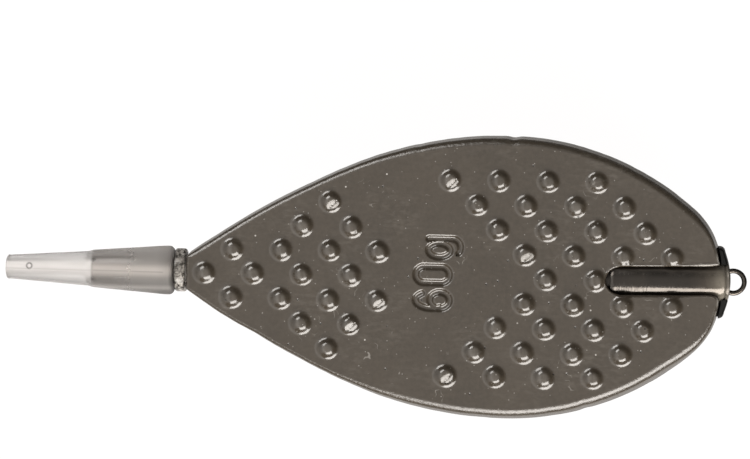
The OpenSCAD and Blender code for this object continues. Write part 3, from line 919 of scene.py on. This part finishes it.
def coated_lead():
    m = Mat("coated_lead", IOR=1.8)
    tone = m.ramp(m.noise(9.0, 4, 0.6), (0.3, (0.040, 0.0325, 0.0237)), (0.7, (0.050, 0.0405, 0.0297)))
    fine = m.noise(0.5, 4, 0.65)
    tone = m.mix(m.span(fine, 0.35, 0.75, 0.0, 0.45), tone, (0.075, 0.061, 0.046))
    # rubbed haze in short strokes along the leaf
    haze = m.math("MULTIPLY", m.span(m.noise(0.45, 3, 0.6, m.mapped((0.4, 1, 1), (0, 0, 0.12))), 0.46, 0.74),
                  m.span(m.noise(6.5, 2, 0.5, m.mapped((1, 1, 1), (0, 0, 0.9))), 0.44, 0.66))
    tone = m.mix(m.math("MULTIPLY", haze, 0.28), tone, (0.15, 0.135, 0.115))
    # dark pits, pale dust and a few curled fibres
    pit = m.voronoi(2.6)
    pit_mask = m.math("MULTIPLY", m.span(pit.outputs["Distance"], 0.02, 0.05, 1, 0), m.span(pit.outputs["Color"], 0.72, 0.76))
    tone = m.mix(pit_mask, tone, (0.010, 0.008, 0.006))
    facing = m.node("ShaderNodeSeparateXYZ")
    m.link(m.node("ShaderNodeNewGeometry").outputs["Normal"], facing.inputs[0])
    up = m.span(facing.outputs["Z"], 0.6, 0.8)
    for size, reach, share, amount in ((3.4, 0.035, 0.74, 0.85), (1.3, 0.06, 0.66, 0.38), (0.8, 0.09, 0.80, 0.20)):
        dust = m.voronoi(size, m.mapped((1, 1, 1), (0, 0, 0.6 * size)))
        dust_mask = m.math("MULTIPLY", m.span(dust.outputs["Distance"], 0.4 * reach, reach, amount, 0),
                           m.span(dust.outputs["Color"], share, share + 0.04))
        tone = m.mix(m.math("MULTIPLY", dust_mask, up), tone, (0.55, 0.53, 0.50))
    curl = m.math("ABSOLUTE", m.math("SUBTRACT", m.noise(2.2, 2, 0.5, m.mapped((1, 1, 0.1), (0, 0, 0.3))), 0.5), 0.0)
    fibre = m.math("MULTIPLY", m.span(curl, 0.001, 0.009, 1, 0), m.span(m.noise(1.5, 1, 0.5), 0.60, 0.68))
    fibre = m.math("MULTIPLY", fibre, m.span(m.noise(9.0, 1, 0.5, m.mapped((1, 1, 0.1), (0, 0, 1.1))), 0.52, 0.66, 0.0, 0.5))
    tone = m.mix(fibre, tone, (0.40, 0.38, 0.35))
    # painted highlight along the nose edge and the slot's mouth, partly bare lead
    tone = m.mix(m.attr("bare"), tone, (0.42, 0.40, 0.365))
    worn = m.attr("worn")
    scratch = m.noise(0.35, 2, 0.5, m.mapped((1, 0.12, 1), (0, 0, 0.75)))
    worn = m.math("MULTIPLY", worn, m.span(scratch, 0.3, 0.55, 0.3, 1.0))
    tone = m.mix(worn, tone, (0.16, 0.148, 0.13))
    m.use("Base Color", tone)
    rough = m.span(m.noise(1.6, 4, 0.6), 0.3, 0.7, 0.15, 0.23)
    rough = m.math("ADD", rough, m.math("MULTIPLY", m.attr("rim"), 0.05))
    m.use("Roughness", m.math("ADD", rough, m.math("MULTIPLY", worn, 0.24)))
    n = m.bump(m.noise(2.4, 3, 0.55), 0.03, 0.6)
    n = m.bump(m.noise(0.32, 3, 0.6), 0.006, 0.6, n)
    lines = m.noise(0.6, 2, 0.4, m.mapped((0.06, 1, 1), (0, 0, 0.35)))
    n = m.bump(m.span(lines, 0.68, 0.74), 0.006, 0.5, n)
    n = m.bump(pit_mask, -0.05, 0.6, n)
    # the rim's rounding is rougher than the face
    grain = m.math("MULTIPLY", m.noise(0.28, 3, 0.65), m.attr("rim"))
    n = m.bump(grain, 0.036, 1.0, n)
    n = m.bump(m.math("MULTIPLY", scratch, worn), 0.03, 1.0, n)
    m.use("Normal", n)
    return m.m


def cage_plastic():
    m = Mat("cage_plastic", IOR=1.4)
    m.use("Base Color", m.ramp(m.noise(5, 3, 0.6), (0.3, (0.005, 0.005, 0.0047)), (0.75, (0.009, 0.009, 0.0084))))
    m.use("Roughness", m.span(m.noise(1.2, 4, 0.6), 0.3, 0.7, 0.30, 0.44))
    n = m.bump(m.noise(0.28, 2, 0.5), 0.012, 0.45)
    n = m.bump(m.noise(4.5, 2, 0.5), 0.05, 0.3, n)
    m.use("Normal", n)
    return m.m


def smoke_plastic():
    m = Mat("smoke_plastic", IOR=1.8, Specular_Tint=(1.0, 0.92, 0.84, 1))
    x = m.axis("X")
    # painted light and shade along the tube: light where the stem shows through the sleeve, near-black inside the lead
    # and the slot as painted shade with a slightly lighter stretch on the slot's left part, and a painted glow of light
    # coming through the lip
    col = m.ramp(m.span(x, -0.0325, 0.0405),
                 (0.0, (0.46, 0.43, 0.41)), (0.15, (0.42, 0.40, 0.38)), (0.17, (0.05, 0.046, 0.04)), (0.79, (0.003, 0.0025, 0.002)),
                 (0.825, (0.004, 0.0033, 0.0026)), (0.862, (0.010, 0.0085, 0.0065)), (0.870, (0.003, 0.0025, 0.002)), (0.93, (0.006, 0.005, 0.004)),
                 (0.954, (0.025, 0.0205, 0.0155)), (0.967, (0.060, 0.052, 0.041)), (0.984, (0.16, 0.145, 0.118)), (0.990, (0.10, 0.092, 0.078)), (1.0, (0.09, 0.083, 0.07)))
    mot = m.noise(0.8, 3, 0.6)
    m.use("Base Color", m.mix(m.span(mot, 0.4, 0.75, 0.0, 0.35), col, m.mult(col, col)))
    rough = m.span(m.noise(0.9, 3, 0.6), 0.3, 0.7, 0.14, 0.24)
    rough = m.math("ADD", rough, m.span(x, 0.0262, 0.0270, 0.6, 0.0))
    m.use("Roughness", m.math("ADD", rough, m.span(m.axis("Y"), 0.0005, 0.0011, 0.0, 0.14)))
    rings = m.noise(0.14, 2, 0.6, m.mapped((1, 0.10, 0.10)))
    rings = m.math("MULTIPLY", rings, m.span(x, 0.0306, 0.0312, 1.0, 0.4))
    rings = m.math("MULTIPLY", rings, m.span(m.axis("Y"), -0.0007, -0.0001, 1.0, 0.12))
    n = m.bump(rings, 0.065, 0.9)
    m.use("Normal", n)
    return m.m


def collar_plastic():
    m = Mat("collar_plastic", IOR=1.47, Transmission_Weight=0.55)
    mot = m.noise(0.5, 3, 0.6, None, 0.6)
    col = m.ramp(mot, (0.36, (0.025, 0.022, 0.019)), (0.45, (0.20, 0.185, 0.165)), (0.60, (0.62, 0.59, 0.55)))
    # painted shade: near-black at the collar's end next to the sleeve, in the gap between them
    m.use("Base Color", m.mix(m.span(m.axis("X"), -0.02246, -0.02228, 0.92, 0.0), col, (0.010, 0.008, 0.007)))
    m.use("Roughness", m.span(m.noise(0.6, 3, 0.5), 0.3, 0.7, 0.08, 0.18))
    m.use("Normal", m.bump(m.noise(0.35, 3, 0.6), 0.04, 0.7))
    return m.m


def clear_sleeve():
    m = Mat("clear_sleeve", IOR=1.42, Transmission_Weight=0.62)
    # clearer where it is only skin, greyer and streaked where the stem fills it, and darker towards the collar end as
    # painted shade
    x = m.axis("X")
    along = m.ramp(m.span(x, -0.0425, -0.0225),
                   (0.0, (0.93, 0.91, 0.895)), (0.08, (0.955, 0.935, 0.92)), (0.520, (0.96, 0.94, 0.925)), (0.535, (0.80, 0.76, 0.725)),
                   (0.9, (0.80, 0.76, 0.725)), (1.0, (0.62, 0.59, 0.56)))
    # painted shade and light across the wide part's height: dark bottom edge, a painted shadow band low down, a lighter
    # middle and a darker upper half
    painted_shade_bands = m.ramp(m.span(m.axis("Y"), -0.0028, 0.0028),
                   (0.0, (0.14,) * 3), (0.08, (0.18,) * 3), (0.15, (0.50,) * 3), (0.225, (0.27,) * 3), (0.30, (0.31,) * 3), (0.36, (0.44,) * 3),
                   (0.43, (0.75,) * 3), (0.51, (1.0,) * 3), (0.56, (0.97,) * 3), (0.64, (0.61,) * 3), (0.70, (0.55,) * 3), (0.80, (0.55,) * 3), (1.0, (0.50,) * 3))
    # painted shade on the narrow skin: darker towards its top and bottom edges
    skin = m.ramp(m.attr("side"), (0.0, (0.28,) * 3), (0.08, (0.35,) * 3), (0.2, (0.54,) * 3), (0.35, (0.82,) * 3), (0.55, (1.0,) * 3), (0.7, (0.97,) * 3),
                  (0.9, (0.66,) * 3), (1.0, (0.55,) * 3))
    painted_shade_bands = m.mix(m.span(x, -0.03210, -0.03180), skin, painted_shade_bands)
    streak = m.noise(1.3, 3, 0.6, m.mapped((0.05, 1, 1)))
    col = m.mix(m.span(streak, 0.35, 0.7, 0.0, 0.18), m.mult(along, painted_shade_bands), (0.42, 0.40, 0.385))
    # seam and gate mark, and painted shade at the stem's end
    m.use("Base Color", m.mix(m.math("MULTIPLY", m.attr("seam_mark_and_shade"), 0.92), col, (0.14, 0.13, 0.125)))
    rough = m.span(m.noise(1.1, 3, 0.6), 0.3, 0.7, 0.16, 0.26)
    m.use("Roughness", m.math("ADD", rough, m.span(x, -0.0285, -0.0238, 0.0, 0.32)))
    n = m.bump(m.noise(0.9, 3, 0.55, m.mapped((0.3, 1, 1))), 0.03, 0.4)
    m.use("Normal", n)
    return m.m


def swivel_metal():
    m = Mat("swivel_metal", Metallic=1.0)
    m.use("Base Color", m.ramp(m.noise(0.9, 3, 0.6), (0.3, (0.055, 0.048, 0.042)), (0.7, (0.13, 0.118, 0.105))))
    m.use("Roughness", m.span(m.noise(0.5, 3, 0.6), 0.3, 0.7, 0.2, 0.34))
    m.use("Normal", m.bump(m.noise(0.25, 3, 0.6), 0.006, 0.5))
    return m.m


def floor_paper():
    m = Mat("floor_paper", Roughness=0.9, Specular_IOR_Level=0.1)
    col = m.ramp(m.noise(60, 2, 0.5), (0.3, (0.045, 0.045, 0.045)), (0.7, (0.055, 0.055, 0.055)))
    m.use("Base Color", col)
    m.b.inputs["Emission Color"].default_value = (1.0, 0.992, 0.99, 1)
    m.b.inputs["Emission Strength"].default_value = 0.975
    return m.m


def dress(ob, mat, body, node):
    ob.data.materials.clear()
    ob.data.materials.append(mat)
    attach(ob, body)
    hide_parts(node)


metal = swivel_metal()
dress(lead, coated_lead(), "feeder", "lead_weight")
dress(cage, cage_plastic(), "feeder", "bait_cage")
dress(insert, smoke_plastic(), "feeder", "insert_tube")
dress(collar, collar_plastic(), "feeder", "tail_collar")
dress(sleeve, clear_sleeve(), "sleeve", "tail_sleeve")
dress(barrel, metal, "swivel", "swivel_barrel")
dress(front_eye, metal, "front_eye", "swivel_front_eye")
dress(rear_eye, metal, "rear_eye", "swivel_rear_eye")


# ---------------------------------------------------------------- floor, light
def make_stage():
    """Pale floor and a pale shell round it. Neither one is mirrored in the glossy parts."""
    me = bpy.data.meshes.new("floor")
    r = 3.0
    me.from_pydata([(-r, -r, -0.00005), (r, -r, -0.00005), (r, r, -0.00005), (-r, r, -0.00005)], [], [(0, 1, 2, 3)])
    floor = bpy.data.objects.new("floor", me)
    scene.collection.objects.link(floor)
    me.materials.append(floor_paper())
    floor.visible_glossy = False

    bm = bmesh.new()
    bmesh.ops.create_uvsphere(bm, u_segments=48, v_segments=24, radius=2.9)
    me = bpy.data.meshes.new("shell")
    bm.to_mesh(me)
    bm.free()
    shell = bpy.data.objects.new("shell", me)
    scene.collection.objects.link(shell)
    m = Mat("shell_paper", Roughness=1.0, Specular_IOR_Level=0.0, Base_Color=(0, 0, 0, 1))
    m.b.inputs["Emission Color"].default_value = (1.0, 0.992, 0.99, 1)
    m.b.inputs["Emission Strength"].default_value = 0.975
    me.materials.append(m.m)
    shell.visible_glossy = shell.visible_diffuse = shell.visible_shadow = shell.visible_volume_scatter = False


def area_light(name, azimuth, polar, dist, w, h, radiance, colour=(1, 1, 1)):
    """Soft box that faces the object. Azimuth is measured from +X towards +Y."""
    a, p = math.radians(azimuth), math.radians(polar)
    d = Vector((math.sin(p) * math.cos(a), math.sin(p) * math.sin(a), math.cos(p)))
    data = bpy.data.lights.new(name, "AREA")
    data.shape, data.size, data.size_y = "RECTANGLE", w, h
    data.energy, data.color = radiance * math.pi * w * h, colour
    ob = bpy.data.objects.new(name, data)
    ob.location = Vector((0.008, 0, 0.014)) + d * dist
    ob.rotation_mode = "QUATERNION"
    ob.rotation_quaternion = (-d).to_track_quat("-Z", "Y")
    ob.visible_camera = False
    scene.collection.objects.link(ob)


def make_world():
    """Dim room with a soft pale ceiling, over a pale table that is darker at the upper right."""
    world = bpy.data.worlds.new("world")
    scene.world = world
    world.use_nodes = True
    t = world.node_tree
    bg = t.nodes["Background"]
    bg.inputs["Color"].default_value = (1.0, 0.96, 0.92, 1)
    co = t.nodes.new("ShaderNodeTexCoord")

    def towards(vec, lo, hi, a, b):
        dot = t.nodes.new("ShaderNodeVectorMath")
        dot.operation = "DOT_PRODUCT"
        t.links.new(co.outputs["Generated"], dot.inputs[0])
        dot.inputs[1].default_value = vec
        mr = t.nodes.new("ShaderNodeMapRange")
        for k, v in (("From Min", lo), ("From Max", hi), ("To Min", a), ("To Max", b)):
            mr.inputs[k].default_value = v
        t.links.new(dot.outputs["Value"], mr.inputs["Value"])
        return mr.outputs["Result"]

    def ramped(*stops, axis=(0, 0, 1)):
        ramp = t.nodes.new("ShaderNodeValToRGB")
        e = ramp.color_ramp.elements
        while len(e) < len(stops):
            e.new(0.5)
        for el, (pos, v) in zip(e, stops):
            el.position, el.color = pos, (v, v, v, 1)
        t.links.new(towards(axis, -1, 1, 0, 1), ramp.inputs["Fac"])
        return ramp.outputs["Color"]

    def combine(op, a, b):
        mt = t.nodes.new("ShaderNodeMath")
        mt.operation = op
        t.links.new(a, mt.inputs[0])
        t.links.new(b, mt.inputs[1])
        return mt.outputs[0]

    table = ramped((0.0, 0.34), (0.03, 0.42), (0.15, 1.0), (0.27, 0.40), (0.40, 0.08), (0.5, 0.0), (1.0, 0.0))
    ceiling = ramped((0.0, 0.0), (0.5, 0.02), (0.68, 0.04), (0.80, 0.18), (0.90, 0.44), (0.96, 0.55), (1.0, 0.55), axis=(-0.12, -0.2, 0.972))
    table = combine("MULTIPLY", table, towards((0.6, 0.8, 0), 0.10, 0.28, 1.3, 0.12))
    t.links.new(combine("ADD", table, ceiling), bg.inputs["Strength"])


make_stage()
make_world()
area_light("key_lower_right", -75, 57, 0.60, 0.60, 0.40, 8.2, (1.0, 0.955, 0.905))
area_light("fill_upper_left", 130, 54, 0.60, 0.36, 0.26, 6.2, (1.0, 0.965, 0.925))
area_light("fill_left", 190, 58, 0.65, 1.2, 1.1, 0.5, (1.0, 0.985, 0.97))
scene.view_settings.view_transform = "Standard"
scene.view_settings.look = "None"
